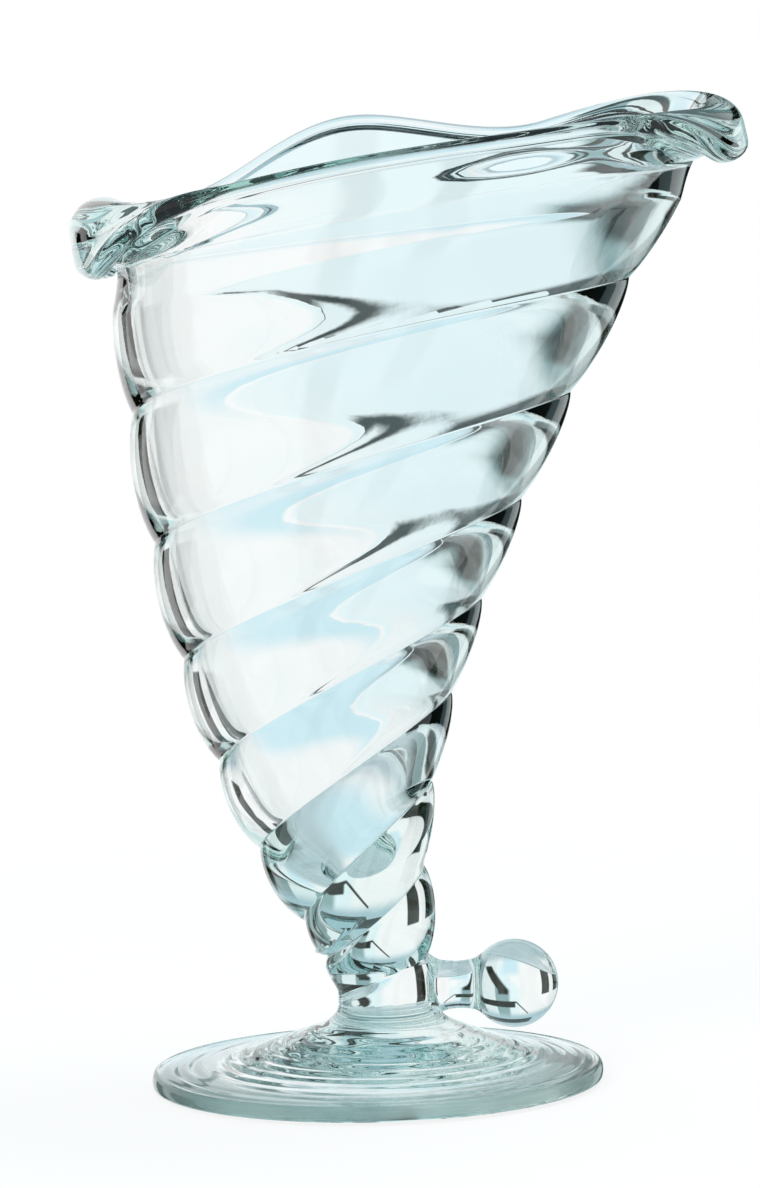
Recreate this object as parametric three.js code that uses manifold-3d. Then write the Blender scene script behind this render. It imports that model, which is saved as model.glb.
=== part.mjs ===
// A sundae glass: a spirally fluted horn of clear glass on a twisted stem and a round foot.
// Millimetres, +Z up. The glass stands on z = 0 and its horn leans towards +X, where the tail and
// its ball stand out. Angles round the horn run anticlockwise from +X, so -Y is the front.

import * as THREE from 'three';
import { mergeVertices } from 'three/addons/utils/BufferGeometryUtils.js';
import Module from 'manifold-3d';

// Foot
const footDiameter = 90;
const footHeight = 13.5; // up to the flat pad that carries the stem
const footEdge = 3.6; // thickness of the rounded edge
const footSweep = 1.6; // power of the curve that sweeps up from the edge to the pad
const standingInset = 6.5; // from the edge in to the flat ring that the glass stands on
const standingWidth = 5;
const dishDepth = 4; // hollow under the foot, at its middle

// Stem
const stemOffset = 2.4; // from the middle of the foot towards +X
const stemDiameter = 19.6; // at the pad
const stemHeight = 22.7; // from the pad to the middle of the joint with the bowl
const stemTurns = 2; // turns of the twist along the stem

// Horn: the curved, fluted body that the bowl is blown into
const hornTurns = 6.65; // turns of the twist from the joint to the mouth
const hornHeight = 136.9; // from the middle of the joint to the middle of the mouth
const hornPace = 0.43; // how much the twist stretches towards the mouth
const jointDiameter = 26; // measured in the grooves
const mouthDiameter = 110.4; // measured in the grooves
const flareBend = 0.2; // how much the flare quickens towards the mouth
const jointShift = -2.4; // from the stem's foot along X
const mouthShift = 5.4;
const hornBow = 8.9; // bow of the horn's middle line towards -X
const jointTilt = 38.9; // degrees that a section rises towards +X
const mouthTilt = 2.2;
const tiltBend = -0.28; // how the tilt eases between the two
const mouthSkew = 0.25; // turns that the mouth's edge climbs on each side of its middle
const fluteHeight = 2; // crown of a flute over the grooves
const fluteLead = 0.12; // turns that the grooves run ahead on one side, and behind on the other
const leadAngle = 295; // degrees round to where they run ahead
const fluteFade = 0.3; // turns below the mouth in which the flutes die away

// Bowl wall
const wall = 2.4; // at the grooves, near the mouth
const wallGain = 1.4; // added towards the joint
const innerFluteHeight = 0.5;
const hollowStart = 0.45; // turn at the bottom of the hollow
const hollowRound = 1.5; // turns in which the bottom of the hollow rounds out

// Rim: a rolled lip that waves round the mouth and droops into an ear on each side. Waves and ears
// have a place in degrees round the mouth and reach halfWidth degrees to each side of it.
const lipThickness = 3.2;
const lipRise = 10.2; // lowest top of the lip over the bowl's edge
const lipRadius = 1.8; // middle of the roll, away from the ears
const lipTurn = 64; // degrees that the lip rolls out from upright, away from the ears
const lipDrop = 0.6; // straight end of the roll, away from the ears
const rightWaveRise = 5.6; // of each wave's crest, on top of lipRise
const backWaveRise = 11.5;
const leftWaveRise = 3.4;
const frontWaveRise = 0.6;
const waves = [
  { at: 34, halfWidth: 58, rise: rightWaveRise },
  { at: 100, halfWidth: 42, rise: backWaveRise },
  { at: 180, halfWidth: 40, rise: leftWaveRise },
  { at: 258, halfWidth: 42, rise: frontWaveRise },
];
const earThickness = 5;
const rightEarRadius = 3.3; // middle of the roll
const rightEarDrop = 3.4; // straight end of the roll
const leftEarRadius = 4.4;
const leftEarDrop = 5.2;
const ears = [
  { at: 0, halfWidth: 54, turn: 168, radius: rightEarRadius, drop: rightEarDrop },
  { at: 180, halfWidth: 58, turn: 190, radius: leftEarRadius, drop: leftEarDrop },
];
const earFlat = 16; // degrees on each side of an ear's middle that droop alike

// Tail and ball
const tailDiameter = 11;
const tailWaist = 0.8; // drawn in at the middle
const tailLength = 6.6; // between the stem and the ball
const ballDiameter = 17.6;
const ballClearance = 3.6; // least height of the ball over the foot
const seam = 0.3; // left between the tail and the pieces that it is fused to

// Facets
const sides = 40; // round the horn and the foot
const outerLines = 5; // lines along each flute outside
const innerLines = 3; // lines along each flute inside
const lineSnap = 0.08; // turns within which a line joins the edge that it runs into
const dishRings = 4;
const edgeAngles = [-40, 0, 40]; // degrees round the foot's edge
const sweepRings = 8;
const capRings = 3; // round the bottom of the hollow
const capShare = 0.3; // of the hollow's rounding, below its fluted part
const rollSteps = 7; // round the lip's roll
const tipAngles = [45, 90, 135]; // degrees round the lip's tip
const tailSides = 24;
const tailStations = 8;
const ballSides = 28;
const ballRings = 18;

const rad = THREE.MathUtils.degToRad;
const lerp = THREE.MathUtils.lerp;
const growth = (w, bend) => (w + bend * w * w) / (1 + bend);
const angleAt = (column) => Math.PI + (2 * Math.PI * (column % sides)) / sides;
const columns = Array.from({ length: sides }, (_, column) => column);
const steps = (from, to, whole) => Array.from({ length: to - from + 1 }, (_, i) => (from + i) / whole);

// A smooth hump: 1 up to flat degrees from its middle, 0 from halfWidth on.
function hump(angle, at, halfWidth, flat = 0) {
  const around = THREE.MathUtils.radToDeg(angle) - at;
  const away = Math.abs(THREE.MathUtils.euclideanModulo(around + 180, 360) - 180);
  return 1 - THREE.MathUtils.smoothstep(away, flat, halfWidth);
}

// A closed skin of points and triangles, with the faces outward. Rows run anticlockwise.
class Skin {
  points = [];
  faces = [];

  point(place) {
    this.points.push(place.x, place.y, place.z);
    return this.points.length / 3 - 1;
  }

  ring(placeAt) {
    return columns.map((column) => this.point(placeAt(angleAt(column))));
  }

  face(a, b, c) {
    if (a !== b && b !== c && c !== a) this.faces.push(a, b, c);
  }

  quad(a, b, c, d) {
    this.face(a, b, c);
    this.face(a, c, d);
  }

  // From one row to the next: outer rows go up, inner rows go down.
  strip(row, next) {
    row.forEach((_, i) => {
      const j = (i + 1) % row.length;
      this.quad(row[i], row[j], next[j], next[i]);
    });
  }

  // The same strip, facing the other way.
  backStrip(row, next) {
    row.forEach((_, i) => {
      const j = (i + 1) % row.length;
      this.face(row[i], next[j], row[j]);
      this.face(row[i], next[i], next[j]);
    });
  }

  strips(rows) {
    rows.slice(1).forEach((row, i) => this.strip(rows[i], row));
  }

  // Caps that close the first row from below and the last row from above.
  capBelow(row, place) {
    const middle = this.point(place);
    row.forEach((_, i) => this.face(middle, row[(i + 1) % row.length], row[i]));
  }

  capAbove(row, place) {
    const middle = this.point(place);
    row.forEach((_, i) => this.face(middle, row[i], row[(i + 1) % row.length]));
  }

  // A sheet between two edge rings, whose lines follow the flutes. A line is a place in the flute,
  // from 0 at one groove to 1 at the next, and climbs one turn for each time round.
  spiralSheet({ surface, low, high, lowEdge, highEdge, lines, inward }) {
    const known = new Map();
    const pointAt = (line, column) => {
      const place = column % sides;
      const row = line + lines * Math.floor(column / sides);
      const angle = angleAt(column);
      const turn = grooveStart + row / lines + climbAt(angle);
      if (turn < low(angle) + lineSnap) return lowEdge[place];
      if (turn > high(angle) - lineSnap) return highEdge[place];
      const key = `${row} ${place}`;
      if (!known.has(key)) known.set(key, this.point(surface(turn, angle)));
      return known.get(key);
    };
    const first = -lines * (Math.ceil(stemTurns) + 2);
    const last = lines * (Math.ceil(hornTurns) + 1);
    for (let line = first; line < last; line++) {
      columns.forEach((column) => {
        const corners = [
          pointAt(line, column),
          pointAt(line, column + 1),
          pointAt(line + 1, column + 1),
          pointAt(line + 1, column),
        ];
        if (inward) corners.reverse();
        this.quad(...corners);
      });
    }
  }

  geometry() {
    const geometry = new THREE.BufferGeometry();
    geometry.setAttribute('position', new THREE.Float32BufferAttribute(this.points, 3));
    geometry.setIndex(this.faces);
    geometry.computeVertexNormals();
    return geometry;
  }
}

// Horn sections, by turns of the twist: 0 at the joint, below that on the stem
const stemFoot = new THREE.Vector3(stemOffset, 0, footHeight);
const jointHeight = footHeight + stemHeight;
// A turn, at the left side, where a groove starts its next time round.
const grooveStart = THREE.MathUtils.euclideanModulo(hornTurns - mouthSkew, 1);

function hornSection(turn) {
  const w = turn / hornTurns;
  const bow = 4 * hornBow * w * (1 - w);
  return {
    x: stemOffset + lerp(jointShift, mouthShift, w) - bow,
    z: jointHeight + hornHeight * growth(w, hornPace),
    radius: lerp(jointDiameter, mouthDiameter, growth(w, flareBend)) / 2,
    tilt: rad(lerp(jointTilt, mouthTilt, growth(w, tiltBend))),
  };
}

function stemSection(turn) {
  const w = 1 + turn / stemTurns;
  const ease = w * w * (3 - 2 * w);
  const joint = hornSection(0);
  return {
    x: lerp(stemFoot.x, joint.x, ease),
    z: lerp(stemFoot.z, joint.z, w),
    radius: lerp(stemDiameter / 2, joint.radius, w ** 3),
    tilt: lerp(0, joint.tilt, w * w),
  };
}

// A point of a tilted round section.
function onSection({ x, z, tilt }, radius, angle) {
  const across = radius * Math.cos(angle);
  const along = radius * Math.sin(angle);
  return new THREE.Vector3(x + across * Math.cos(tilt), along, z + across * Math.sin(tilt));
}

// Turns that a groove climbs from the left side to an angle.
function climbAt(angle) {
  const lead = fluteLead * Math.cos(angle - rad(leadAngle));
  return (angle - Math.PI) / (2 * Math.PI) + lead;
}

// Place across a flute, as a share of its crown: 0 in the grooves.
function flute(turn, angle) {
  return Math.abs(Math.sin(Math.PI * (turn - grooveStart - climbAt(angle))));
}

const mouthTurn = (angle) => hornTurns + mouthSkew * Math.cos(angle);

// Share of their full height that the flutes have: they grow up the stem and die away at the mouth.
function fluteShare(turn, angle) {
  const grown = THREE.MathUtils.smoothstep(turn, -stemTurns, 0);
  const left = THREE.MathUtils.clamp((mouthTurn(angle) - turn) / fluteFade, 0, 1);
  return grown * left;
}

function hornOutside(turn, angle) {
  const section = hornSection(turn);
  const crown = fluteHeight * flute(turn, angle) * fluteShare(turn, angle);
  return onSection(section, section.radius + crown, angle);
}

function hornInside(turn, angle) {
  const section = hornSection(turn);
  const crown = innerFluteHeight * flute(turn, angle) ** 2 * fluteShare(turn, angle);
  const full = section.radius - wall - wallGain * Math.max(0, 1 - turn / hornTurns) + crown;
  const fill = Math.min(1, (turn - hollowStart) / hollowRound);
  return onSection(section, full * Math.sqrt(fill * (2 - fill)), angle);
}

function stemOutside(turn, angle, growBy = 0) {
  const section = stemSection(turn);
  const crown = fluteHeight * flute(turn, angle) * fluteShare(turn, angle);
  return onSection(section, section.radius + crown + growBy, angle);
}

const centreOf = ({ x, z }) => new THREE.Vector3(x, 0, z);

// Foot: a disc that sweeps up to the stem, standing on a flat ring round its dished underside
const footRadius = footDiameter / 2;
const standingRadius = footRadius - standingInset;
const padRadius = stemDiameter / 2;
const edgeRound = footEdge / 4; // how far the edge's rounding reaches in

// Top of the foot at a share of the way from the edge to the pad.
function footTop(share) {
  return {
    x: stemOffset * share,
    radius: lerp(footRadius - edgeRound, padRadius, share),
    z: lerp(footEdge, footHeight, share ** footSweep),
  };
}

function makeFoot() {
  const skin = new Skin();
  const level = ({ x = 0, radius, z }) =>
    skin.ring((angle) => onSection({ x, z, tilt: 0 }, radius, angle));
  const dishRadius = standingRadius - standingWidth;
  const dish = steps(1, dishRings, dishRings).map((share) => ({
    radius: dishRadius * share,
    z: dishDepth * (1 - share * share),
  }));
  const standing = { radius: standingRadius, z: 0 };
  const edge = edgeAngles.map((angle) => ({
    radius: footRadius - edgeRound * (1 - Math.cos(rad(angle))),
    z: (footEdge / 2) * (1 + Math.sin(rad(angle))),
  }));
  const top = steps(0, sweepRings, sweepRings).map(footTop);
  const rows = [...dish, standing, ...edge, ...top].map(level);
  skin.capBelow(rows[0], new THREE.Vector3(0, 0, dishDepth));
  skin.strips(rows);
  skin.capAbove(rows.at(-1), stemFoot);
  return skin.geometry();
}

// Stem: solid, and twisted into the lower end of the horn
function makeStem(growBy = 0) {
  const skin = new Skin();
  const outside = (turn, angle) => stemOutside(turn, angle, growBy);
  const lowEdge = skin.ring((angle) => outside(-stemTurns, angle));
  const highEdge = skin.ring((angle) => outside(0, angle));
  skin.capBelow(lowEdge, stemFoot);
  skin.spiralSheet({
    surface: outside,
    low: () => -stemTurns,
    high: () => 0,
    lowEdge,
    highEdge,
    lines: outerLines,
  });
  skin.capAbove(highEdge, centreOf(hornSection(0)));
  return skin.geometry();
}

// Bowl: the hollow horn, from its joint with the stem to the edge that carries the rim
function makeBowl() {
  const skin = new Skin();
  const joint = skin.ring((angle) => hornOutside(0, angle));
  const outerEdge = skin.ring((angle) => hornOutside(mouthTurn(angle), angle));
  const innerEdge = skin.ring((angle) => hornInside(mouthTurn(angle), angle));
  const rounding = steps(1, capRings, capRings)
    .reverse()
    .map((share) => hollowStart + hollowRound * capShare * share * share);
  const hollow = rounding.map((turn) => skin.ring((angle) => hornInside(turn, angle)));
  skin.capBelow(joint, centreOf(hornSection(0)));
  skin.spiralSheet({
    surface: hornOutside,
    low: () => 0,
    high: mouthTurn,
    lowEdge: joint,
    highEdge: outerEdge,
    lines: outerLines,
  });
  skin.strip(outerEdge, innerEdge);
  skin.spiralSheet({
    surface: hornInside,
    low: () => rounding[0],
    high: mouthTurn,
    lowEdge: hollow[0],
    highEdge: innerEdge,
    lines: innerLines,
    inward: true,
  });
  skin.strips(hollow);
  skin.capAbove(hollow.at(-1), centreOf(hornSection(hollowStart)));
  return skin.geometry();
}

// Rim: one section of the lip at each angle, from the bowl's outer edge over the roll to its inner edge
function lipAt(angle) {
  const lip = {
    rise: lipRise,
    turn: rad(lipTurn),
    radius: lipRadius,
    drop: lipDrop,
    thickness: lipThickness,
  };
  waves.forEach(({ at, rise, halfWidth }) => {
    lip.rise += rise * hump(angle, at, halfWidth);
  });
  ears.forEach(({ at, halfWidth, turn, radius, drop }) => {
    const share = hump(angle, at, halfWidth, earFlat);
    lip.thickness += (earThickness - lipThickness) * share;
    lip.turn += (rad(turn) - rad(lipTurn)) * share;
    lip.radius += (radius - lipRadius) * share;
    lip.drop += (drop - lipDrop) * share;
  });
  return lip;
}

function lipSection(angle) {
  const lip = lipAt(angle);
  const turn = mouthTurn(angle);
  const outer = hornOutside(turn, angle);
  const inner = hornInside(turn, angle);
  const outward = new THREE.Vector3(Math.cos(angle), Math.sin(angle), 0);
  const below = hornOutside(turn - fluteFade, angle);
  const climb = outer.clone().sub(below);
  const lean = Math.atan2(climb.dot(outward), climb.z);

  // Middle line of the lip: headings are measured from upright towards the outside.
  const line = [];
  let heading = lean;
  const middle = outer.clone().add(inner).multiplyScalar(0.5);
  const step = (length) => {
    middle.addScaledVector(outward, length * Math.sin(heading));
    middle.z += length * Math.cos(heading);
  };
  const keep = () => line.push({ place: middle.clone(), heading });
  const riser = (lip.rise - lip.thickness / 2 - lip.radius * (1 - Math.sin(lean))) / Math.cos(lean);
  step(riser / 2);
  keep();
  step(riser / 2);
  keep();
  const rollTurn = (lip.turn - lean) / rollSteps;
  const rollStep = 2 * lip.radius * Math.sin(rollTurn / 2);
  for (let i = 0; i < rollSteps; i++) {
    heading += rollTurn / 2;
    step(rollStep);
    heading += rollTurn / 2;
    keep();
  }
  step(lip.drop / 2);
  keep();
  step(lip.drop / 2);
  keep();

  const aside = ({ place, heading: way }, side, ahead = 0) => {
    const point = place.clone();
    point.addScaledVector(outward, side * Math.cos(way) + ahead * Math.sin(way));
    point.z += ahead * Math.cos(way) - side * Math.sin(way);
    return point;
  };
  const half = lip.thickness / 2;
  const end = line.at(-1);
  const tip = tipAngles.map((at) => aside(end, half * Math.cos(rad(at)), half * Math.sin(rad(at))));
  const outside = line.map((station) => aside(station, half));
  const inside = line.map((station) => aside(station, -half)).reverse();
  return [outer, ...outside, ...tip, ...inside, inner];
}

function makeRim() {
  const skin = new Skin();
  const sections = columns.map((column) => lipSection(angleAt(column)));
  const rows = sections[0].map((_, row) => sections.map((section) => skin.point(section[row])));
  skin.strips(rows);
  skin.backStrip(rows[0], rows.at(-1));
  return skin.geometry();
}

// Tail and ball: the curled tip of the horn, over the foot
const tailRadius = tailDiameter / 2;
const ballRadius = ballDiameter / 2;
const tailReach = stemDiameter / 2 + tailLength + ballRadius; // from the stem's middle to the ball's
const ballX = stemOffset + tailReach;
const footShareUnderBall = (footRadius - ballX) / (footRadius - padRadius);
const footUnderBall = footTop(THREE.MathUtils.clamp(footShareUnderBall, 0, 1)).z;
const ballRest = footUnderBall + ballClearance + ballRadius;
const tailHeight = Math.max(ballRest, footHeight + seam + tailRadius);

const wasm = await Module();
wasm.setup();

function toSolid(geometry) {
  const bare = geometry.clone();
  bare.deleteAttribute('normal');
  bare.deleteAttribute('uv');
  const merged = mergeVertices(bare);
  return new wasm.Manifold(
    new wasm.Mesh({
      numProp: 3,
      vertProperties: new Float32Array(merged.attributes.position.array),
      triVerts: new Uint32Array(merged.index.array),
    }),
  );
}

function toGeometry(solid) {
  const { vertProperties, triVerts } = solid.getMesh();
  const geometry = new THREE.BufferGeometry();
  geometry.setAttribute('position', new THREE.Float32BufferAttribute(vertProperties, 3));
  geometry.setIndex(new THREE.Uint32BufferAttribute(triVerts, 1));
  geometry.computeVertexNormals();
  return geometry;
}

function makeBall(growBy = 0) {
  const ball = new THREE.SphereGeometry(ballRadius + growBy, ballSides, ballRings);
  ball.rotateZ(-Math.PI / 2);
  return ball.translate(ballX, 0, tailHeight);
}

function makeTail() {
  const round = steps(0, tailStations, tailStations).map(
    (along) => new THREE.Vector2(tailRadius - tailWaist * Math.sin(Math.PI * along), along * tailReach),
  );
  const profile = [new THREE.Vector2(0, 0), ...round, new THREE.Vector2(0, tailReach)];
  const bar = new THREE.LatheGeometry(profile, tailSides);
  bar.rotateZ(-Math.PI / 2);
  bar.translate(stemOffset, 0, tailHeight);
  const stemCut = toSolid(makeStem(seam));
  const ballCut = toSolid(makeBall(seam));
  return toGeometry(toSolid(bar).subtract(stemCut).subtract(ballCut));
}

// Clear glass with a pale aqua tint, a little deeper where it is thick
function piece(name, geometry, color) {
  const material = new THREE.MeshStandardMaterial({ color, roughness: 0.05, metalness: 0 });
  const mesh = new THREE.Mesh(geometry, material);
  mesh.name = name;
  return mesh;
}

const glass = new THREE.Group();
const horn = new THREE.Group();
horn.add(piece('stem', makeStem(), 0xb9d3d2));
horn.add(piece('bowl', makeBowl(), 0xd6ebee));
horn.add(piece('rim', makeRim(), 0xc6dcd8));
const curl = new THREE.Group();
curl.add(piece('tail', makeTail(), 0xc3d8d6));
curl.add(piece('ball', makeBall(), 0xc9dcdb));
glass.add(piece('foot', makeFoot(), 0xbfd8d6));
glass.add(horn);
glass.add(curl);

// The middle of the glass, seen from above, stands at the origin.
const plan = new THREE.Box3().setFromObject(glass).getCenter(new THREE.Vector3());
glass.position.set(-plan.x, -plan.y, 0);

export default glass;
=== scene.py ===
import math

import bpy
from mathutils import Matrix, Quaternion, Vector


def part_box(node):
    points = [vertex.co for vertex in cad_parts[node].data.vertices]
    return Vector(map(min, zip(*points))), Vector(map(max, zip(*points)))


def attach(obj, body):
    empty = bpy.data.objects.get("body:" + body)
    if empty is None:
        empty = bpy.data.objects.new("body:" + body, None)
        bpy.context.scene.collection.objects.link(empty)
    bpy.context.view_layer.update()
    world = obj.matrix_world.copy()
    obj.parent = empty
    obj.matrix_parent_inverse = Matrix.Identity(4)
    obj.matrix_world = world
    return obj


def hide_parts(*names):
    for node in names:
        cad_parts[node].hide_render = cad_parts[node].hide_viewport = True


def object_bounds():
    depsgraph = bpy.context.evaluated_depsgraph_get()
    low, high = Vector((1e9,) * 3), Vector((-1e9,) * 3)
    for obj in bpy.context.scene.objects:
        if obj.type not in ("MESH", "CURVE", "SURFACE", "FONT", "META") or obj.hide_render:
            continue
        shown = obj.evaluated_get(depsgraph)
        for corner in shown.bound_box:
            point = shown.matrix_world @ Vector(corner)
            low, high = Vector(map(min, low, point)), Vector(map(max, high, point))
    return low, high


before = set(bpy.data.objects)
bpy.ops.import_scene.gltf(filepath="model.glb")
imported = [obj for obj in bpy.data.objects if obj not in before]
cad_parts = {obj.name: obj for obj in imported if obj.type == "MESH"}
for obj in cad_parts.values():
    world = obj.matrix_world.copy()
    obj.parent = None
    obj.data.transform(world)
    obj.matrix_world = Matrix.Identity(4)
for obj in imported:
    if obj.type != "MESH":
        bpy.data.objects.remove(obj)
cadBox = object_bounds()
print("frame loaded:", ", ".join(sorted(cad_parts)))

mm = 0.001  # sizes are written in millimetres and kept in metres
up = Vector((0, 0, 1))

# every piece is worked out round the foot's own middle, then moved to where the foot stands
footLow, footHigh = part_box("foot")
footMiddle = Vector(((footLow.x + footHigh.x) / 2, (footLow.y + footHigh.y) / 2, 0))

facets = {
    "columns": 200,  # round the horn, the rim and the foot
    "outerLines": 24,  # along each flute outside
    "innerLines": 16,
    "crowding": 0.7,  # how much the lines close up at the grooves
    "snap": 0.012,  # turns within which a line joins the edge that it runs into
    "hairline": 0.0006,  # turns left between two pieces that are fused
}


def between(a, b, w):
    return a + (b - a) * w


def growth(w, bend):
    return (w + bend * w * w) / (1 + bend)


def smooth(value, low, high):
    w = min(1, max(0, (value - low) / (high - low)))
    return w * w * (3 - 2 * w)


def shares(count):
    return [i / count for i in range(1, count + 1)]


# 1 up to flat degrees from its middle, 0 from halfWidth on
def hump(angle, at, halfWidth, flat=0):
    away = abs((math.degrees(angle) - at + 180) % 360 - 180)
    return 1 - smooth(away, flat, halfWidth)


def angleAt(column):
    return math.pi + 2 * math.pi * (column % facets["columns"]) / facets["columns"]


# Points, faces and normals of one piece. Rows run anticlockwise, and a fused face is one
# where the next piece carries on, so it doesn't show.
class Skin:
    def __init__(self):
        self.points = []
        self.normals = []
        self.faces = []
        self.fused = []

    def point(self, place, normal=None):
        self.points.append(place)
        self.normals.append(normal)
        return len(self.points) - 1

    def ring(self, placeAt, normalAt=None, count=facets["columns"]):
        turns = [math.pi + 2 * math.pi * i / count for i in range(count)]
        return [self.point(placeAt(a), normalAt and normalAt(a)) for a in turns]

    def face(self, corners, fused=False):
        kept = [c for i, c in enumerate(corners) if c != corners[i - 1]]
        if len(set(kept)) == len(kept) > 2:
            self.faces.append(kept)
            self.fused.append(fused)

    def strip(self, row, following, fused=False):
        for i in range(len(row)):
            self.face([row[i - 1], row[i], following[i], following[i - 1]], fused)

    def strips(self, rows, fused=False):
        for row, following in zip(rows, rows[1:]):
            self.strip(row, following, fused)

    def cap(self, row, place, below=False, fused=False):
        middle = self.point(place)
        for i in range(len(row)):
            pair = [row[i], row[i - 1]] if below else [row[i - 1], row[i]]
            self.face([middle, *pair], fused)

    # lines follow the flutes: a line climbs one turn for each time round
    def spiralSheet(self, surface, low, high, lowEdge, highEdge, lines, inward=False):
        columns = facets["columns"]
        steps = [i / lines for i in range(lines)]
        places = [t - facets["crowding"] * math.sin(2 * math.pi * t) / (2 * math.pi) for t in steps]
        known = {}

        def pointAt(line, column):
            around, place = divmod(column, columns)
            row = line + lines * around
            angle = angleAt(place)
            whole, part = divmod(row, lines)
            turn = grooveStart + whole + places[part] + climbAt(angle)
            if turn < low(angle) + facets["snap"]:
                return lowEdge[place]
            if turn > high(angle) - facets["snap"]:
                return highEdge[place]
            if (row, place) not in known:
                normal = facing(surface, turn, angle, inward)
                known[row, place] = self.point(surface(turn, angle), normal)
            return known[row, place]

        first = -lines * (math.ceil(stemSizes["turns"]) + 2)
        last = lines * (math.ceil(hornSizes["turns"]) + 1)
        for line in range(first, last):
            for column in range(columns):
                corners = [
                    pointAt(line, column),
                    pointAt(line, column + 1),
                    pointAt(line + 1, column + 1),
                    pointAt(line + 1, column),
                ]
                self.face(corners[::-1] if inward else corners)

    # normals that weren't given come from the faces around the point
    def settle(self):
        sums = [Vector() for place in self.points]
        for corners, fused in zip(self.faces, self.fused):
            if not fused:
                across = faceNormal([self.points[c] for c in corners])
                for c in corners:
                    sums[c] += across
        for i, normal in enumerate(self.normals):
            if normal is None:
                self.normals[i] = sums[i].normalized()


def faceNormal(corners):
    total = Vector()
    for b, c in zip(corners[1:], corners[2:]):
        total += (b - corners[0]).cross(c - corners[0])
    return total


# two pieces that are fused share their normals along the joint
def fuseRings(oneSkin, oneRing, otherSkin, otherRing):
    for one, other in zip(oneRing, otherRing):
        shared = (oneSkin.normals[one] + otherSkin.normals[other]).normalized()
        oneSkin.normals[one] = shared
        otherSkin.normals[other] = shared


# sizes of the glass; the horn and the stem go by turns of their twist, 0 at the joint between them
# and less than 0 on the stem
footSizes = {
    "diameter": 90 * mm,
    "height": 13.5 * mm,  # up to where the stem stands
    "edge": 3.6 * mm,
    "edgeTurns": (-50, 90),  # degrees of its rounding, from underneath to the top
    "sweep": 1.6,  # power of the curve that sweeps up to the stem
    "standingInset": 6.5 * mm,
    "standingWidth": 5 * mm,
    "dishDepth": 4 * mm,
    "filletStart": 0.9,  # share of the way up to the stem
    "ringDepth": 0.24 * mm,  # of the faint rings on its top
    "rings": 11,
    "swells": 5,  # times that a ring comes and goes on its way round
    "swellDrift": 23,  # radians that the swells move on from the edge to the stem
    "swellShare": 0.4,
}
stemSizes = {
    "offset": 2.4 * mm,
    "diameter": 19.6 * mm,
    "height": 22.7 * mm,
    "turns": 2,
    "grooveDepth": 1.2 * mm,  # of the grooves that run on down to the foot
    "filletTurn": -1.74,  # where the foot's fillet ends on it
    "grooveEnd": -1.3,
}
hornSizes = {
    "turns": 6.65,
    "height": 136.9 * mm,
    "pace": 0.43,  # how much the twist stretches towards the mouth
    "jointDiameter": 26 * mm,
    "mouthDiameter": 110.4 * mm,
    "flareBend": 0.2,
    "jointShift": -2.4 * mm,
    "mouthShift": 5.4 * mm,
    "bow": 8.9 * mm,
    "jointTilt": 38.9,
    "mouthTilt": 2.2,
    "tiltBend": -0.28,
    "mouthSkew": 0.25,  # turns that the mouth's edge climbs on each side
    "fluteHeight": 2 * mm,
    "fluteLead": 0.12,
    "leadAngle": 295,
    "fluteFade": 0.3,  # turns below the mouth in which the flutes die away
    "grooveRound": 0.12,  # rounding at the bottom of a groove
    "fullness": 0.62,  # power that fills a flute out towards its grooves
}
bowlSizes = {
    "wall": 2.4 * mm,
    "wallGain": 1.4 * mm,  # added towards the joint
    "innerFluteHeight": 0.5 * mm,
    "innerFullness": 2,
    "hollowStart": 0.45,
    "hollowRound": 1.5,
    "capShare": 0.3,  # of the hollow's rounding, below its fluted part
    "capRings": 10,
}

footRadius = footSizes["diameter"] / 2
edgeInset = footSizes["edge"] / 4  # how far the rounding of the foot's edge reaches in
stemRadius = stemSizes["diameter"] / 2
jointHeight = footSizes["height"] + stemSizes["height"]
grooveStart = (hornSizes["turns"] - hornSizes["mouthSkew"]) % 1


def hornSection(turn):
    h = hornSizes
    w = turn / h["turns"]
    bow = 4 * h["bow"] * w * (1 - w)
    return {
        "x": stemSizes["offset"] + between(h["jointShift"], h["mouthShift"], w) - bow,
        "z": jointHeight + h["height"] * growth(w, h["pace"]),
        "radius": between(h["jointDiameter"], h["mouthDiameter"], growth(w, h["flareBend"])) / 2,
        "tilt": math.radians(between(h["jointTilt"], h["mouthTilt"], growth(w, h["tiltBend"]))),
    }


def stemSection(turn):
    w = 1 + turn / stemSizes["turns"]
    joint = hornSection(0)
    return {
        "x": between(stemSizes["offset"], joint["x"], w * w * (3 - 2 * w)),
        "z": between(footSizes["height"], joint["z"], w),
        "radius": between(stemRadius, joint["radius"], w ** 3),
        "tilt": joint["tilt"] * w * w,
    }


def onSection(section, radius, angle):
    across = radius * math.cos(angle)
    return Vector((
        section["x"] + across * math.cos(section["tilt"]),
        radius * math.sin(angle),
        section["z"] + across * math.sin(section["tilt"]),
    ))


def centreOf(section):
    return Vector((section["x"], 0, section["z"]))


# turns that a groove climbs from the left side to an angle
def climbAt(angle):
    lead = hornSizes["fluteLead"] * math.cos(angle - math.radians(hornSizes["leadAngle"]))
    return (angle - math.pi) / (2 * math.pi) + lead


# share of a flute's crown: 0 in the grooves, which are a little rounded
def flute(turn, angle):
    sharp = math.sin(math.pi * (turn - grooveStart - climbAt(angle)))
    soft = hornSizes["grooveRound"]
    share = (math.hypot(sharp, soft) - soft) / (math.hypot(1, soft) - soft)
    return share ** hornSizes["fullness"]


def mouthTurn(angle):
    return hornSizes["turns"] + hornSizes["mouthSkew"] * math.cos(angle)


def fluteShare(turn, angle):
    left = (mouthTurn(angle) - turn) / hornSizes["fluteFade"]
    return smooth(turn, -stemSizes["turns"], 0) * min(1, max(0, left))


def hornOutside(turn, angle):
    section = hornSection(turn)
    crown = hornSizes["fluteHeight"] * flute(turn, angle) * fluteShare(turn, angle)
    return onSection(section, section["radius"] + crown, angle)


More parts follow.
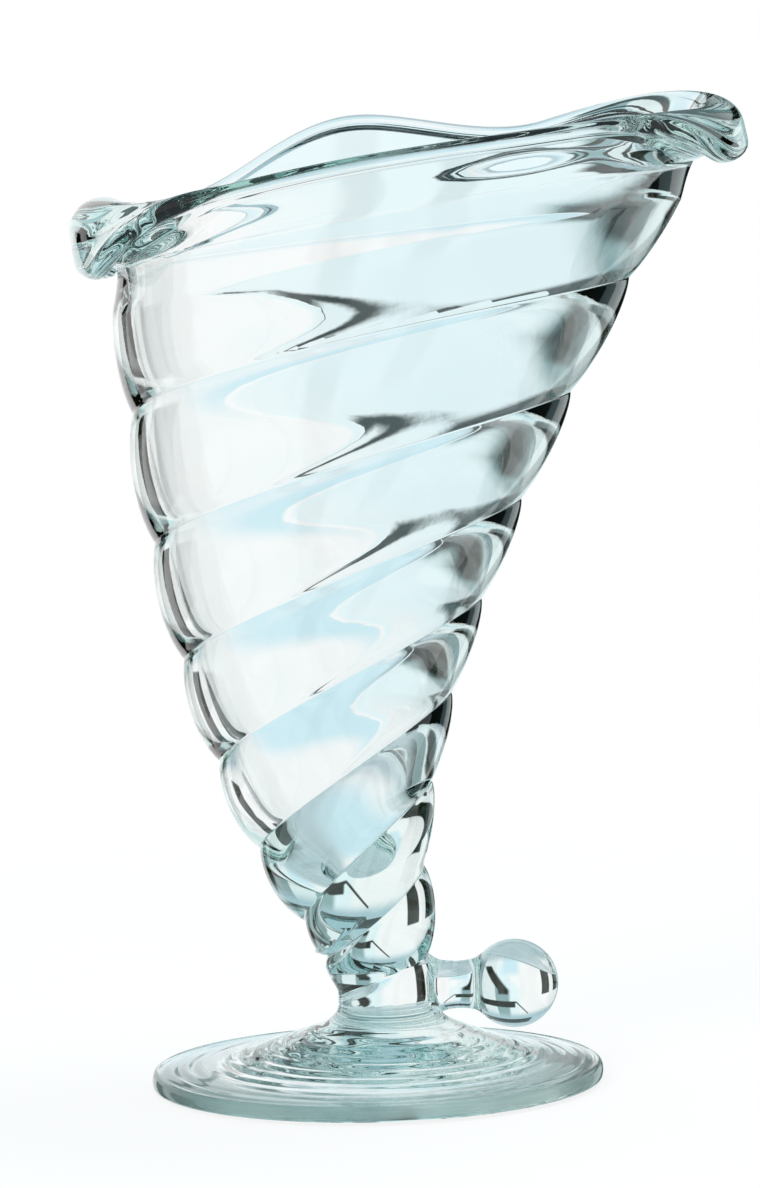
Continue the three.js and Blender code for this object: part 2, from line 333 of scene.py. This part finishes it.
def hornInside(turn, angle):
    b = bowlSizes
    section = hornSection(turn)
    crown = b["innerFluteHeight"] * flute(turn, angle) ** b["innerFullness"]
    crown *= fluteShare(turn, angle)
    gain = b["wallGain"] * max(0, 1 - turn / hornSizes["turns"])
    fill = min(1, max(0, (turn - b["hollowStart"]) / b["hollowRound"]))
    radius = section["radius"] - b["wall"] - gain + crown
    return onSection(section, radius * math.sqrt(fill * (2 - fill)), angle)


def stemOutside(turn, angle):
    section = stemSection(turn)
    crown = hornSizes["fluteHeight"] * flute(turn, angle) * fluteShare(turn, angle)
    groove = stemSizes["grooveDepth"] * (1 - flute(turn, angle)) * (1 - fluteShare(turn, angle))
    fade = smooth(turn, stemSizes["filletTurn"], stemSizes["grooveEnd"])
    return onSection(section, section["radius"] + crown - groove * fade, angle)


# normal of a surface that is given by turn and angle
def facing(surface, turn, angle, inward=False):
    step = 0.002
    around = surface(turn, angle + step) - surface(turn, angle - step)
    along = surface(turn + step, angle) - surface(turn - step, angle)
    normal = around.cross(along).normalized()
    return -normal if inward else normal


# foot: a trumpet-shaped disc on a flat ring, dished below, with a fillet up to the stem
footRings = {"dish": 14, "standing": 4, "edge": 12, "sweep": 90, "fillet": 12}


def footTop(share):
    return {
        "x": stemSizes["offset"] * share,
        "radius": between(footRadius - edgeInset, stemRadius, share),
        "z": between(footSizes["edge"], footSizes["height"], share ** footSizes["sweep"]),
        "tilt": 0,
    }


# depth of the rings, which come and go round the foot
def ringDepth(share, angle):
    f = footSizes
    wave = math.sin(math.pi * f["rings"] * share) ** 2
    swell = math.sin(f["swells"] * angle + f["swellDrift"] * share)
    return f["ringDepth"] * wave * (1 - f["swellShare"] + f["swellShare"] * swell)


def filletPoint(angle, share):
    start = footTop(footSizes["filletStart"])
    low = onSection(start, start["radius"], angle)
    corner = stemOutside(-stemSizes["turns"], angle)
    high = stemOutside(stemSizes["filletTurn"] - facets["hairline"], angle)
    return low.lerp(corner, share).lerp(corner.lerp(high, share), share)


def makeFootSkin():
    skin = Skin()
    f = footSizes
    standing = footRadius - f["standingInset"]
    dish = standing - f["standingWidth"]

    def level(radius, z):
        return skin.ring(lambda angle: onSection({"x": 0, "z": z, "tilt": 0}, radius, angle))

    rows = [level(dish * s, f["dishDepth"] * (1 - s * s)) for s in shares(footRings["dish"])]
    rows += [level(between(dish, standing, s), 0) for s in shares(footRings["standing"])]
    for s in shares(footRings["edge"]):
        turn = math.radians(between(*f["edgeTurns"], s))
        radius = footRadius - edgeInset * (1 - math.cos(turn))
        rows.append(level(radius, f["edge"] / 2 * (1 + math.sin(turn))))
    for s in shares(footRings["sweep"]):
        top = footTop(s * f["filletStart"])
        rows.append(skin.ring(lambda a: onSection(top, top["radius"], a) - ringDepth(s, a) * up))
    for s in shares(footRings["fillet"]):
        rows.append(skin.ring(lambda angle: filletPoint(angle, s)))
    joint = stemSection(stemSizes["filletTurn"] - facets["hairline"])
    skin.cap(rows[0], Vector((0, 0, f["dishDepth"])), below=True)
    skin.strips(rows)
    skin.cap(rows[-1], centreOf(joint), fused=True)
    return skin, rows[-1]


# stem: solid, and twisted into the lower end of the horn
def makeStemSkin():
    skin = Skin()
    low = stemSizes["filletTurn"]
    high = -facets["hairline"]
    edges = [
        skin.ring(lambda a: stemOutside(turn, a), lambda a: facing(stemOutside, turn, a))
        for turn in (low, high)
    ]
    skin.cap(edges[0], centreOf(stemSection(low)), below=True, fused=True)
    skin.spiralSheet(stemOutside, lambda a: low, lambda a: high, *edges, facets["outerLines"])
    skin.cap(edges[1], centreOf(stemSection(high)), fused=True)
    return skin, edges[0], edges[1]


# bowl: the hollow horn, from its joint with the stem to the edge that carries the rim
def makeBowlSkin():
    skin = Skin()
    b = bowlSizes
    joint = skin.ring(lambda a: hornOutside(0, a), lambda a: facing(hornOutside, 0, a))
    outer = skin.ring(
        lambda a: hornOutside(mouthTurn(a), a),
        lambda a: facing(hornOutside, mouthTurn(a) - facets["snap"], a),
    )
    inner = skin.ring(
        lambda a: hornInside(mouthTurn(a), a),
        lambda a: facing(hornInside, mouthTurn(a) - facets["snap"], a, inward=True),
    )
    capTurns = b["hollowRound"] * b["capShare"]
    turns = [b["hollowStart"] + capTurns * s * s for s in reversed(shares(b["capRings"]))]
    hollow = [
        skin.ring(lambda a: hornInside(turn, a), lambda a: facing(hornInside, turn, a, inward=True))
        for turn in turns
    ]
    skin.cap(joint, centreOf(hornSection(0)), below=True, fused=True)
    skin.spiralSheet(hornOutside, lambda a: 0, mouthTurn, joint, outer, facets["outerLines"])
    skin.strip(outer, inner, fused=True)
    lines = facets["innerLines"]
    skin.spiralSheet(hornInside, lambda a: turns[0], mouthTurn, hollow[0], inner, lines, inward=True)
    skin.strips(hollow)
    skin.cap(hollow[-1], centreOf(hornSection(b["hollowStart"])))
    return skin, joint, outer, inner


# rim: a rolled lip that waves round the mouth and droops into an ear on each side
rimSizes = {
    "thickness": 3.2 * mm,
    "rise": 10.2 * mm,
    "radius": 1.8 * mm,
    "turn": 64,
    "drop": 0.6 * mm,
    "waves": [
        {"at": 34, "halfWidth": 58, "rise": 5.6 * mm},
        {"at": 100, "halfWidth": 42, "rise": 11.5 * mm},
        {"at": 180, "halfWidth": 40, "rise": 3.4 * mm},
        {"at": 258, "halfWidth": 42, "rise": 0.6 * mm},
    ],
    "ears": [
        {"at": 0, "halfWidth": 54, "turn": 168, "radius": 3.3 * mm, "drop": 3.4 * mm},
        {"at": 180, "halfWidth": 58, "turn": 190, "radius": 4.4 * mm, "drop": 5.2 * mm},
    ],
    "earThickness": 5 * mm,
    "earFlat": 16,  # degrees on each side of an ear's middle that droop alike
}
rimSteps = {"riser": 8, "roll": 26, "drop": 4, "tip": 12}


def lipAt(angle):
    lip = {name: rimSizes[name] for name in ("thickness", "rise", "radius", "turn", "drop")}
    lip["solid"] = 0
    for wave in rimSizes["waves"]:
        lip["rise"] += wave["rise"] * hump(angle, wave["at"], wave["halfWidth"])
    for ear in rimSizes["ears"]:
        share = hump(angle, ear["at"], ear["halfWidth"], rimSizes["earFlat"])
        lip["thickness"] += (rimSizes["earThickness"] - rimSizes["thickness"]) * share
        lip["solid"] += share
        for name in ("turn", "radius", "drop"):
            lip[name] += (ear[name] - rimSizes[name]) * share
    return lip


# one section of the lip, from the bowl's outer edge over the roll to its inner edge
def lipSection(angle):
    lip = lipAt(angle)
    turn = mouthTurn(angle) + facets["hairline"]
    outer = hornOutside(turn, angle)
    inner = hornInside(turn, angle)
    outward = Vector((math.cos(angle), math.sin(angle), 0))
    climb = outer - hornOutside(turn - hornSizes["fluteFade"], angle)
    lean = math.atan2(climb.dot(outward), climb.z)
    half = lip["thickness"] / 2
    riser = (lip["rise"] - half - lip["radius"] * (1 - math.sin(lean))) / math.cos(lean)
    roll = (math.radians(lip["turn"]) - lean) / rimSteps["roll"]
    moves = [(riser / rimSteps["riser"], 0)] * rimSteps["riser"]
    moves += [(2 * lip["radius"] * math.sin(roll / 2), roll)] * rimSteps["roll"]
    moves += [(lip["drop"] / rimSteps["drop"], 0)] * rimSteps["drop"]

    # the lip's middle line, with headings from upright towards the outside
    middle = (outer + inner) / 2
    heading = lean
    line = []
    for length, bend in moves:
        heading += bend / 2
        middle = middle + length * (math.sin(heading) * outward + math.cos(heading) * up)
        heading += bend / 2
        line.append((middle, heading))

    def aside(station, side, ahead=0):
        place, way = station
        along = math.sin(way) * outward + math.cos(way) * up
        across = math.cos(way) * outward - math.sin(way) * up
        return place + side * across + ahead * along

    # the wall's own thickness eases into the lip's along the riser
    wallHalf = (outer - inner).length / 2
    easing = [smooth(i, 0, rimSteps["riser"]) for i in range(1, len(line) + 1)]
    halves = [between(wallHalf, half, share) for share in easing]
    tipTurns = [math.pi * i / rimSteps["tip"] for i in range(1, rimSteps["tip"])]
    outside = [aside(station, width) for station, width in zip(line, halves)]
    tip = [aside(line[-1], half * math.cos(t), half * math.sin(t)) for t in tipTurns]
    inside = [aside(station, -width) for station, width in zip(line, halves)]
    # an ear is a solid bead: its underside runs straight from the wall to the tip
    straight = [outer.lerp(outside[-1], s) for s in shares(len(outside))]
    outside = [hollow.lerp(full, lip["solid"]) for hollow, full in zip(outside, straight)]
    return [outer, *outside, *tip, *inside[::-1], inner]


def makeRimSkin():
    skin = Skin()
    sections = [lipSection(angleAt(column)) for column in range(facets["columns"])]
    rows = [[skin.point(place) for place in row] for row in zip(*sections)]
    skin.strips(rows)
    skin.strip(rows[-1], rows[0], fused=True)
    return skin, rows[0], rows[-1]


# tail and ball: the curled tip of the horn, fused to the stem over the foot
tailSizes = {
    "diameter": 11 * mm,
    "waist": 0.8 * mm,  # drawn in at the middle
    "length": 6.6 * mm,
    "flare": 0.7 * mm,  # fillet at each end
    "flareReach": 0.22,
    "hairline": 0.02 * mm,
    "sides": 72,
    "stations": 36,
    "capRings": 10,
    "tries": 12,  # to find where it meets the stem's side
}
ballSizes = {
    "diameter": 17.6 * mm,
    "clearance": 3.6 * mm,  # over the foot
    "rings": 56,
}
tailRadius = tailSizes["diameter"] / 2
tailEnd = tailRadius + tailSizes["flare"]
ballRadius = ballSizes["diameter"] / 2
ballX = stemSizes["offset"] + stemRadius + tailSizes["length"] + ballRadius
ballShare = (footRadius - ballX) / (footRadius - stemRadius)
tailHeight = footTop(max(0, ballShare))["z"] + ballSizes["clearance"] + ballRadius


# x of the stem's right side, closer at each try
def stemSideX(y, z):
    turn = (z - jointHeight) / stemSizes["height"] * stemSizes["turns"]
    angle = 0
    straightOn = 1e-6
    for attempt in range(tailSizes["tries"]):
        place = stemOutside(turn, angle)
        turn += (z - place.z) / stemSizes["height"] * stemSizes["turns"]
        sine = math.sin(angle)
        radius = place.y / sine if abs(sine) > straightOn else stemRadius
        angle = math.asin(max(-1, min(1, y / radius)))
    return stemOutside(turn, angle).x


def ballSideX(distance):
    return ballX - math.sqrt(ballRadius ** 2 - distance ** 2)


def aroundTail(distance, angle):
    return distance * math.cos(angle), tailHeight + distance * math.sin(angle)


def tailPoint(along, angle):
    reach = tailSizes["flareReach"]
    nearEnd = max(0, 1 - min(along, 1 - along) / reach)
    waist = tailSizes["waist"] * math.sin(math.pi * along)
    distance = tailRadius - waist + tailSizes["flare"] * nearEnd ** 2
    y, z = aroundTail(distance, angle)
    low = stemSideX(*aroundTail(tailEnd, angle)) + tailSizes["hairline"]
    high = ballSideX(tailEnd) - tailSizes["hairline"]
    return Vector((between(low, high, along), y, z))


def tailCapPoint(share, angle, onStem):
    y, z = aroundTail(tailEnd * share, angle)
    if onStem:
        return Vector((stemSideX(y, z) + tailSizes["hairline"], y, z))
    return Vector((ballSideX(tailEnd * share) - tailSizes["hairline"], y, z))


# rows go round the tail's axis from the stem to the ball, seen from the ball anticlockwise
def makeTailSkin():
    skin = Skin()
    sides = tailSizes["sides"]
    stations = [i / tailSizes["stations"] for i in range(tailSizes["stations"] + 1)]
    body = [skin.ring(lambda a: tailPoint(along, a), count=sides) for along in stations]
    inner = shares(tailSizes["capRings"])[:-1]
    onStem = [skin.ring(lambda a: tailCapPoint(s, a, True), count=sides) for s in inner]
    onBall = [skin.ring(lambda a: tailCapPoint(s, a, False), count=sides) for s in inner[::-1]]
    skin.cap(onStem[0], tailCapPoint(0, 0, True), below=True, fused=True)
    skin.strips([*onStem, body[0]], fused=True)
    skin.strips(body)
    skin.strips([body[-1], *onBall], fused=True)
    skin.cap(onBall[-1], tailCapPoint(0, 0, False), fused=True)
    return skin


def ballPoint(tilt, angle):
    y, z = aroundTail(ballRadius * math.sin(tilt), angle)
    return Vector((ballX - ballRadius * math.cos(tilt), y, z))


def makeBallSkin():
    skin = Skin()
    sides = tailSizes["sides"]
    seat = math.asin(tailEnd / ballRadius)
    seatTilts = [seat * s for s in shares(tailSizes["capRings"])]
    freeTilts = [between(seat, math.pi, s) for s in shares(ballSizes["rings"])[:-1]]
    seatRings = [skin.ring(lambda a: ballPoint(tilt, a), count=sides) for tilt in seatTilts]
    freeRings = [skin.ring(lambda a: ballPoint(tilt, a), count=sides) for tilt in freeTilts]
    skin.cap(seatRings[0], ballPoint(0, 0), below=True, fused=True)
    skin.strips(seatRings, fused=True)
    skin.strips([seatRings[-1], *freeRings])
    skin.cap(freeRings[-1], ballPoint(math.pi, 0))
    middle = Vector((ballX, 0, tailHeight))
    skin.normals = [(place - middle).normalized() for place in skin.points]
    return skin


# an output socket: arithmetic on it adds Math nodes
class Value:
    def __init__(self, graph, socket):
        self.graph = graph
        self.socket = socket

    def maths(self, operation, *terms):
        return self.graph.node("ShaderNodeMath", {"operation": operation}, dict(enumerate(terms)))

    def __add__(self, other):
        return self.maths("ADD", self, other)

    def __radd__(self, other):
        return self.maths("ADD", other, self)

    def __sub__(self, other):
        return self.maths("SUBTRACT", self, other)

    def __rsub__(self, other):
        return self.maths("SUBTRACT", other, self)

    def __mul__(self, other):
        return self.maths("MULTIPLY", self, other)

    def __rmul__(self, other):
        return self.maths("MULTIPLY", other, self)

    def __truediv__(self, other):
        return self.maths("DIVIDE", self, other)

    def __rtruediv__(self, other):
        return self.maths("DIVIDE", other, self)

    def __neg__(self):
        return self.maths("MULTIPLY", self, -1)

    def __abs__(self):
        return self.maths("ABSOLUTE", self)

    def most(self, other):
        return self.maths("MAXIMUM", self, other)

    def least(self, other):
        return self.maths("MINIMUM", self, other)

    # 0 below low, 1 above high, smooth between
    def step(self, low, high):
        settings = {"interpolation_type": "SMOOTHSTEP"}
        sockets = {"Value": self, "From Min": low, "From Max": high}
        return self.graph.node("ShaderNodeMapRange", settings, sockets)


class Graph:
    def __init__(self, tree):
        self.tree = tree
        tree.nodes.clear()

    def node(self, kind, settings=None, sockets=None, out=0):
        made = self.tree.nodes.new(kind)
        for name, value in (settings or {}).items():
            setattr(made, name, value)
        for name, value in (sockets or {}).items():
            if isinstance(value, Value):
                self.tree.links.new(value.socket, made.inputs[name])
            else:
                made.inputs[name].default_value = value
        return Value(self, made.outputs[out]) if made.outputs else made

    def axes(self, vector):
        parts = {"Vector": vector}
        return [self.node("ShaderNodeSeparateXYZ", sockets=parts, out=axis) for axis in "XYZ"]

    def mixColour(self, factor, a, b):
        return self.node("ShaderNodeMix", {"data_type": "RGBA"}, {0: factor, 6: a, 7: b}, out=2)


# clear pressed glass: a pale aqua tint that deepens with thickness, the mould's faint ripple
# and a little wear where it is handled and set down
glassLook = {
    "ior": 1.52,
    "paleTint": (1, 1, 1, 1),
    "deepTint": (0.985, 0.997, 0.997, 1),
    "tintSpan": (0.3, 0.7),  # of the ripple, from the pale tint to the deep one
    "absorbs": (0.45, 0.82, 0.74, 1),  # colour left by the thick parts
    "density": 7.5,
    "ripple": {"Scale": 70, "Detail": 1},
    "fine": {"Scale": 320, "Detail": 2},
    "fineShare": 0.2,
    "rippleDepth": 0.014 * mm,
    "polish": 0.004,
    "wear": 0.02,
    "wearSpan": (0.4, 0.7),  # of the ripple, and below of the fine one
    "wearFineSpan": (0.55, 0.75),
    "standingWear": 0.3,
    "standingHeights": (0.1 * mm, 0.8 * mm),
    "maskEdge": 0.02 * mm,
}


def makeGlass(name, seated=False):
    look = glassLook
    material = bpy.data.materials.new(name)
    material.use_nodes = True
    graph = Graph(material.node_tree)
    place = graph.node("ShaderNodeTexCoord", out="Object")
    x, y, z = graph.axes(place)
    ripple = graph.node("ShaderNodeTexNoise", sockets={"Vector": place, **look["ripple"]})
    fine = graph.node("ShaderNodeTexNoise", sockets={"Vector": place, **look["fine"]})
    normal = graph.node("ShaderNodeBump", sockets={
        "Strength": 1,
        "Distance": look["rippleDepth"],
        "Height": ripple * (1 - look["fineShare"]) + fine * look["fineShare"],
    })
    tint = graph.mixColour(ripple.step(*look["tintSpan"]), look["paleTint"], look["deepTint"])
    smears = fine.step(*look["wearFineSpan"]) * ripple.step(*look["wearSpan"])
    standing = 1 - z.step(*look["standingHeights"])
    roughness = look["polish"] + look["wear"] * smears + look["standingWear"] * standing
    hidden = graph.node("ShaderNodeAttribute", {"attribute_name": "fused"}, out="Fac")
    if seated:  # the tail is fused to the stem inside this circle
        tailY = y - footMiddle.y
        tailZ = z - tailHeight
        squares = tailY * tailY + tailZ * tailZ
        distance = squares.maths("SQRT", squares)
        stemX = footMiddle.x + stemSizes["offset"]
        right = x.step(stemX, stemX + look["maskEdge"] / 2)
        hidden = hidden.most(right * (1 - distance.step(tailEnd - look["maskEdge"], tailEnd)))
    shader = graph.node("ShaderNodeBsdfPrincipled", sockets={
        "Base Color": tint,
        "Roughness": roughness,
        "IOR": look["ior"],
        "Transmission Weight": 1,
        "Alpha": 1 - hidden,
        "Normal": normal,
    })
    depth = graph.node("ShaderNodeVolumeAbsorption", sockets={
        "Color": look["absorbs"],
        "Density": look["density"],
    })
    graph.node("ShaderNodeOutputMaterial", sockets={"Surface": shader, "Volume": depth})
    return material


def makePiece(node, skin, material):
    mesh = bpy.data.meshes.new(node + "_glass")
    mesh.from_pydata([place + footMiddle for place in skin.points], [], skin.faces)
    mesh.materials.append(material)
    fused = mesh.attributes.new("fused", "FLOAT", "FACE")
    fused.data.foreach_set("value", [float(flag) for flag in skin.fused])
    corners = []
    for face, flag in zip(skin.faces, skin.fused):
        flat = faceNormal([skin.points[c] for c in face]).normalized()
        corners += [flat if flag else skin.normals[c] for c in face]
    mesh.polygons.foreach_set("use_smooth", [True] * len(mesh.polygons))
    mesh.normals_split_custom_set(corners)
    piece = bpy.data.objects.new(node + "_glass", mesh)
    bpy.context.scene.collection.objects.link(piece)
    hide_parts(node)
    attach(piece, "root")
    print("piece:", piece.name, len(mesh.polygons), "faces")


footSkin, footJoint = makeFootSkin()
stemSkin, stemLow, stemHigh = makeStemSkin()
bowlSkin, bowlJoint, bowlOuter, bowlInner = makeBowlSkin()
rimSkin, rimOuter, rimInner = makeRimSkin()
skins = {
    "foot": footSkin,
    "stem": stemSkin,
    "bowl": bowlSkin,
    "rim": rimSkin,
    "tail": makeTailSkin(),
    "ball": makeBallSkin(),
}
for skin in skins.values():
    skin.settle()
fuseRings(footSkin, footJoint, stemSkin, stemLow)
fuseRings(stemSkin, stemHigh, bowlSkin, bowlJoint)
fuseRings(bowlSkin, bowlOuter, rimSkin, rimOuter)
fuseRings(bowlSkin, bowlInner, rimSkin, rimInner)
clearGlass = makeGlass("clear_glass")
stemGlass = makeGlass("stem_glass", seated=True)
for node, skin in skins.items():
    makePiece(node, skin, stemGlass if node == "stem" else clearGlass)

# studio: the camera sees plain white, and the glass a surround that is white behind it on the left
# and shades off to the right, with pale panels on the sides and in front, cards on the right and
# dark flags that draw its edges; degrees are from straight behind, or of height
studio = {
    "white": (1, 1, 1, 1),
    "cool": (0.84, 0.97, 1, 1),
    "coolFrom": -7,
    "coolTo": 0,
    "ground": (0.66, 0.88, 0.96, 1),
    "groundAcross": (-3, 14),
    "groundHeights": (-42, -17),
    "groundFade": 7,
    "grey": (0.27, 0.42, 0.43, 1),
    "greyFrom": 4.5,
    "greyTo": 8,
    "greyHeights": (-28, 45),
    "slope": 0.85,  # the shading on the right runs outwards towards the ground
    "slopeTop": -3,
    "panels": (0.84, 0.90, 0.91, 1),  # on the sides and in front
    "panelsFrom": 58,
    "panelsTo": 64,
    "gap": (0.03, 0.05, 0.045, 1),
    "frontGaps": (152, 168),  # between panels, on the left and on the right
    "gapFade": 5,
    "rightCards": [
        {"across": (20, 38), "colour": (0.80, 0.90, 0.91, 1)},
        {"across": (38.5, 50), "colour": (0.24, 0.35, 0.36, 1)},
        {"across": (50, 76), "colour": (0.03, 0.05, 0.045, 1)},
    ],
    "overhead": (0.42, 0.60, 0.66, 1),
    "overheadFrom": 20,
    "overheadTo": 32,
    "underneath": (0.50, 0.62, 0.66, 1),
    "underneathFrom": 28,
    "underneathTo": 38,
    "dark": (0.012, 0.013, 0.006, 1),
    "rightFlag": (7.2, 17),
    "rightFlagHeights": (-26, 1),
    "rightFlagFade": 2.6,
    "topFlag": (7.9, 9.7),
    "topFlagAcross": (-14, 60),
    "topFlagLean": 1.2,  # it climbs towards the left
    "flags": [
        {"across": (-74, -50), "heights": (-26, 4)},
        {"across": (-40, -27), "heights": (-26, 4)},
        {"across": (1, 60), "heights": (9, 15)},
        {"across": (-23, 60), "heights": (35, 47)},
    ],
    "edge": 1.2,  # over which the edge of a card or flag fades
}


def band(value, limits, fade=studio["edge"]):
    low, high = limits
    half = fade / 2
    return value.step(low - half, low + half) * (1 - value.step(high - half, high + half))


def makeWorld():
    world = bpy.data.worlds.new("studio")
    bpy.context.scene.world = world
    world.use_nodes = True
    graph = Graph(world.node_tree)
    way = graph.node("ShaderNodeTexCoord", out="Generated")
    x, y, z = graph.axes(way)
    around = x.maths("ARCTAN2", x, y) * math.degrees(1)
    height = z.maths("ARCSINE", z) * math.degrees(1)
    slant = around + (height - studio["slopeTop"]).least(0) * studio["slope"]
    leaning = height + around.least(0) * studio["topFlagLean"]
    dark = studio["dark"]
    coolShade = slant.step(studio["coolFrom"], studio["coolTo"])
    surround = graph.mixColour(coolShade, studio["white"], studio["cool"])
    fade = studio["groundFade"]
    groundShade = band(around, studio["groundAcross"], fade)
    groundShade = groundShade * band(height, studio["groundHeights"], fade)
    surround = graph.mixColour(groundShade, surround, studio["ground"])
    greyShade = slant.step(studio["greyFrom"], studio["greyTo"])
    greyShade = greyShade * band(height, studio["greyHeights"])
    surround = graph.mixColour(greyShade, surround, studio["grey"])
    aside = abs(around)
    panels = aside.step(studio["panelsFrom"], studio["panelsTo"])
    surround = graph.mixColour(panels, surround, studio["panels"])
    gaps = band(aside, studio["frontGaps"], studio["gapFade"])
    surround = graph.mixColour(gaps, surround, studio["gap"])
    for card in studio["rightCards"]:
        surround = graph.mixColour(band(around, card["across"]), surround, card["colour"])
    highShade = height.step(studio["overheadFrom"], studio["overheadTo"])
    surround = graph.mixColour(highShade, surround, studio["overhead"])
    lowShade = (-height).step(studio["underneathFrom"], studio["underneathTo"])
    surround = graph.mixColour(lowShade, surround, studio["underneath"])
    rightShade = band(slant, studio["rightFlag"], studio["rightFlagFade"])
    rightShade = rightShade * band(height, studio["rightFlagHeights"], studio["rightFlagFade"])
    surround = graph.mixColour(rightShade, surround, dark)
    topShade = band(leaning, studio["topFlag"]) * band(around, studio["topFlagAcross"])
    surround = graph.mixColour(topShade, surround, dark)
    for flag in studio["flags"]:
        shade = band(around, flag["across"]) * band(height, flag["heights"])
        surround = graph.mixColour(shade, surround, dark)
    seen = graph.node("ShaderNodeLightPath", out="Is Camera Ray")
    colour = graph.mixColour(seen, surround, studio["white"])
    background = graph.node("ShaderNodeBackground", sockets={"Color": colour, "Strength": 1})
    graph.node("ShaderNodeOutputWorld", sockets={"Surface": background})


floorLook = {
    "radius": 1.2,
    "sides": 96,
    "colour": (0.93, 0.94, 0.94, 1),
    "white": (1, 1, 1, 1),
    "whiteShare": 0.84,  # of what the camera sees near the glass; the rest takes the shadow
    "nearby": 0.12,
    "faraway": 0.45,
    "drop": 0.1 * mm,
}


def makeFloor():
    look = floorLook
    mesh = bpy.data.meshes.new("floor")
    sides = range(look["sides"])
    turns = [2 * math.pi * i / look["sides"] for i in sides]
    edge = [(look["radius"] * math.cos(a), look["radius"] * math.sin(a), -look["drop"]) for a in turns]
    mesh.from_pydata(edge, [], [list(sides)])
    floor = bpy.data.objects.new("floor", mesh)
    bpy.context.scene.collection.objects.link(floor)
    material = bpy.data.materials.new("pale_floor")
    material.use_nodes = True
    graph = Graph(material.node_tree)
    place = graph.node("ShaderNodeTexCoord", out="Object")
    away = graph.node("ShaderNodeVectorMath", {"operation": "LENGTH"}, {0: place}, out="Value")
    farShare = away.step(look["nearby"], look["faraway"])
    share = look["whiteShare"] + (1 - look["whiteShare"]) * farShare
    seen = graph.node("ShaderNodeLightPath", out="Is Camera Ray")
    mirrored = graph.node("ShaderNodeLightPath", out="Is Glossy Ray")
    refracted = graph.node("ShaderNodeLightPath", out="Is Transmission Ray")
    paint = graph.node("ShaderNodeBsdfDiffuse", sockets={"Color": look["colour"]})
    white = graph.node("ShaderNodeEmission", sockets={"Color": look["white"], "Strength": 1})
    toCamera = graph.node("ShaderNodeMixShader", sockets={0: seen * share, 1: paint, 2: white})
    clear = graph.node("ShaderNodeBsdfTransparent")  # the glass sees the surround through the floor
    inGlass = mirrored.most(refracted)
    mixed = graph.node("ShaderNodeMixShader", sockets={0: inGlass, 1: toCamera, 2: clear})
    graph.node("ShaderNodeOutputMaterial", sockets={"Surface": mixed})
    mesh.materials.append(material)


softboxes = {
    "key_softbox": {"at": (-0.7, -0.9, 0.9), "size": (0.5, 0.7), "watts": 9},
    "top_softbox": {"at": (0.3, 0.2, 1.2), "size": (0.6, 0.6), "watts": 7},
}


def makeSoftbox(name, box):
    lamp = bpy.data.lights.new(name, "AREA")
    lamp.shape = "RECTANGLE"
    lamp.size, lamp.size_y = box["size"]
    lamp.energy = box["watts"]
    light = bpy.data.objects.new(name, lamp)
    light.location = box["at"]
    light.rotation_euler = (glassMiddle - light.location).to_track_quat("-Z", "Y").to_euler()
    light.visible_glossy = False
    light.visible_transmission = False
    bpy.context.scene.collection.objects.link(light)


glassMiddle = (cadBox[0] + cadBox[1]) / 2
makeWorld()
makeFloor()
for name, box in softboxes.items():
    makeSoftbox(name, box)
print("studio: surround, floor and", len(softboxes), "softboxes")

# camera: places are from the foot's middle, the picture is 760 by 1188
cameraView = {
    "eye": Vector((2.9, -880, 167)) * mm,
    "aim": Vector((2.9, 0, 97.6)) * mm,
    "roll": -1.5,
    "focalPixels": 4460,
    "tallPixels": 1188,
    "sensor": 36,
}
lightBounces = {  # enough for light to come through the wall, the stem and the foot
    "max_bounces": 32,
    "transmission_bounces": 28,
    "glossy_bounces": 12,
    "transparent_max_bounces": 24,
}


def makeCamera():
    data = bpy.data.cameras.new("camera")
    data.sensor_width = cameraView["sensor"]
    data.lens = cameraView["sensor"] * cameraView["focalPixels"] / cameraView["tallPixels"]
    camera = bpy.data.objects.new("camera", data)
    look = (cameraView["aim"] - cameraView["eye"]).to_track_quat("-Z", "Y")
    camera.rotation_mode = "QUATERNION"
    camera.rotation_quaternion = look @ Quaternion((0, 0, 1), math.radians(cameraView["roll"]))
    camera.location = cameraView["eye"] + footMiddle
    bpy.context.scene.collection.objects.link(camera)
    bpy.context.scene.camera = camera


makeCamera()
scene = bpy.context.scene
scene.view_settings.view_transform = "Standard"
for name, count in lightBounces.items():
    setattr(scene.cycles, name, count)
print("camera: lens", round(scene.camera.data.lens, 1), "mm")
